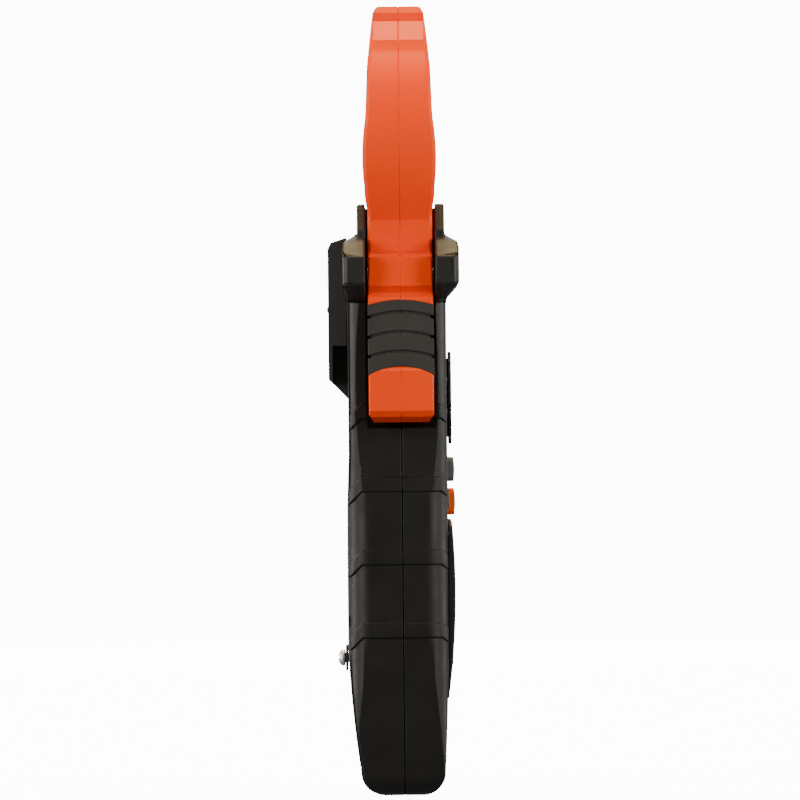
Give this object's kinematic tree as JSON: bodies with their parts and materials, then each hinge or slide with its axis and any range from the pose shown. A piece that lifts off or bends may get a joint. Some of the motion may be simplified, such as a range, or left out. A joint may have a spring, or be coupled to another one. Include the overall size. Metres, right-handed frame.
{
  "type": "clamp meter",
  "caption": "Hand-held clamp meter with a hinged sensing jaw worked by a side trigger, a rotary dial, push buttons, a display, base sockets and a battery cover.",
  "frame": {"origin": "centre of the bounding box's base, on the flat face that carries the sockets", "axes": "+Z along the meter towards the jaw's nose, -Y the way the display and dial face, -X the side of the moving jaw and trigger"},
  "size_m": [0.086, 0.0419, 0.25],
  "materials": {
    "hard_plastic": "fine spark texture, satin",
    "overmould_rubber": "soft matte",
    "jaw_plastic": "satin orange moulding",
    "grip_rubber": "soft matte",
    "core_steel": "laminated",
    "winding": "enamelled wire",
    "black_resin": "moulded resin",
    "lead_insulation": "wire insulation",
    "steel": "bright",
    "screw_steel": "blackened",
    "brass": "turned",
    "board": "solder mask",
    "window": "clear",
    "display": "reflective display",
    "light_guide": "frosted",
    "connector_rubber": "elastomer",
    "inner_plastic": "plain moulding",
    "socket_plastic": "plain moulding",
    "contact_plate": "nickel plated",
    "cell_wrap": "shrink wrap",
    "dial_plastic": "fine texture",
    "grey_button": "soft moulding",
    "orange_button": "soft moulding",
    "washer": "dark fibre washer"
  },
  "bodies": {
    "housing": {"front_housing": "hard_plastic", "rear_housing": "hard_plastic", "front_rubber": "overmould_rubber", "rear_rubber": "overmould_rubber", "probe_holder": "hard_plastic", "holder_screws": "screw_steel", "housing_screws": "screw_steel", "fixed_jaw_front_shell": "jaw_plastic", "fixed_jaw_rear_shell": "jaw_plastic", "fixed_jaw_core": "core_steel", "fixed_jaw_coil": "winding", "field_sensor": "black_resin", "jaw_leads": "lead_insulation", "pivot_pin": "steel", "return_spring": "steel", "circuit_board": "board", "board_components": "black_resin", "tactile_switches": "black_resin", "sounder": "black_resin", "display_bezel": "hard_plastic", "display_window": "window", "display_module": "display", "display_backlight": "light_guide", "connector_strip": "connector_rubber", "dial_detent_spring": "steel", "socket_block": "socket_plastic", "common_socket": "brass", "volt_socket": "brass", "battery_tray": "inner_plastic", "battery_springs": "steel", "battery_contact_plates": "contact_plate", "lower_cell": "cell_wrap", "middle_cell": "cell_wrap", "upper_cell": "cell_wrap", "threaded_insert": "brass"},
    "moving_jaw": {"moving_jaw_front_shell": "jaw_plastic", "moving_jaw_rear_shell": "jaw_plastic", "moving_jaw_core": "core_steel", "moving_jaw_coil": "winding", "pivot_bush": "brass", "trigger_grip_front": "grip_rubber", "trigger_grip_rear": "grip_rubber", "jaw_screws": "screw_steel"},
    "dial": {"dial_knob": "dial_plastic", "dial_rotor": "inner_plastic", "dial_contacts": "brass"},
    "hold_button": {"hold_button": "grey_button"},
    "range_button": {"range_button": "grey_button"},
    "select_button": {"select_button": "orange_button"},
    "peak_button": {"peak_button": "grey_button"},
    "zero_button": {"zero_button": "grey_button"},
    "battery_cover": {"battery_cover": "hard_plastic"},
    "retaining_washer": {"retaining_washer": "washer"},
    "cover_screw": {"cover_screw": "steel"}
  },
  "joints": [
    {"name": "jaw_open", "type": "hinge", "parent": "housing", "child": "moving_jaw", "pos_m": [-0.022, -0.00245, 0.164], "axis": [0, -1, 0], "range_deg": [0, 22], "stiffness_Nm_per_rad": 1.2, "springref_deg": -20.05, "deforming": ["return_spring"]},
    {"name": "dial_turn", "type": "hinge", "parent": "housing", "child": "dial", "pos_m": [0, -0.00245, 0.1254], "axis": [0, 1, 0], "range_deg": [0, 210], "deforming": ["dial_detent_spring"]},
    {"name": "press_hold", "type": "slide", "parent": "housing", "child": "hold_button", "axis": [0, 1, 0], "range_m": [0, 0.0008], "stiffness_N_per_m": 800, "springref_m": -0.0005},
    {"name": "press_range", "type": "slide", "parent": "housing", "child": "range_button", "axis": [0, 1, 0], "range_m": [0, 0.0008], "stiffness_N_per_m": 800, "springref_m": -0.0005},
    {"name": "press_select", "type": "slide", "parent": "housing", "child": "select_button", "axis": [0, 1, 0], "range_m": [0, 0.0008], "stiffness_N_per_m": 800, "springref_m": -0.0005},
    {"name": "press_peak", "type": "slide", "parent": "housing", "child": "peak_button", "axis": [0, 1, 0], "range_m": [0, 0.0008], "stiffness_N_per_m": 800, "springref_m": -0.0005},
    {"name": "press_zero", "type": "slide", "parent": "housing", "child": "zero_button", "axis": [0, 1, 0], "range_m": [0, 0.0008], "stiffness_N_per_m": 800, "springref_m": -0.0005},
    {"name": "cover_remove", "type": "slide", "parent": "housing", "child": "battery_cover", "axis": [0, 1, 0], "range_m": [0, 0.03]},
    {"name": "cover_screw_travel", "type": "slide", "parent": "battery_cover", "child": "retaining_washer", "axis": [0, 1, 0], "range_m": [0, 0.0045]},
    {"name": "cover_screw_turn", "type": "hinge", "parent": "retaining_washer", "child": "cover_screw", "pos_m": [0, 0.01555, 0.0429], "axis": [0, 1, 0], "range_deg": [0, 3240]}
  ],
  "couplings": [
    {"joint": "cover_screw_turn", "follows": "cover_screw_travel", "rad_per_m": 12566}
  ]
}
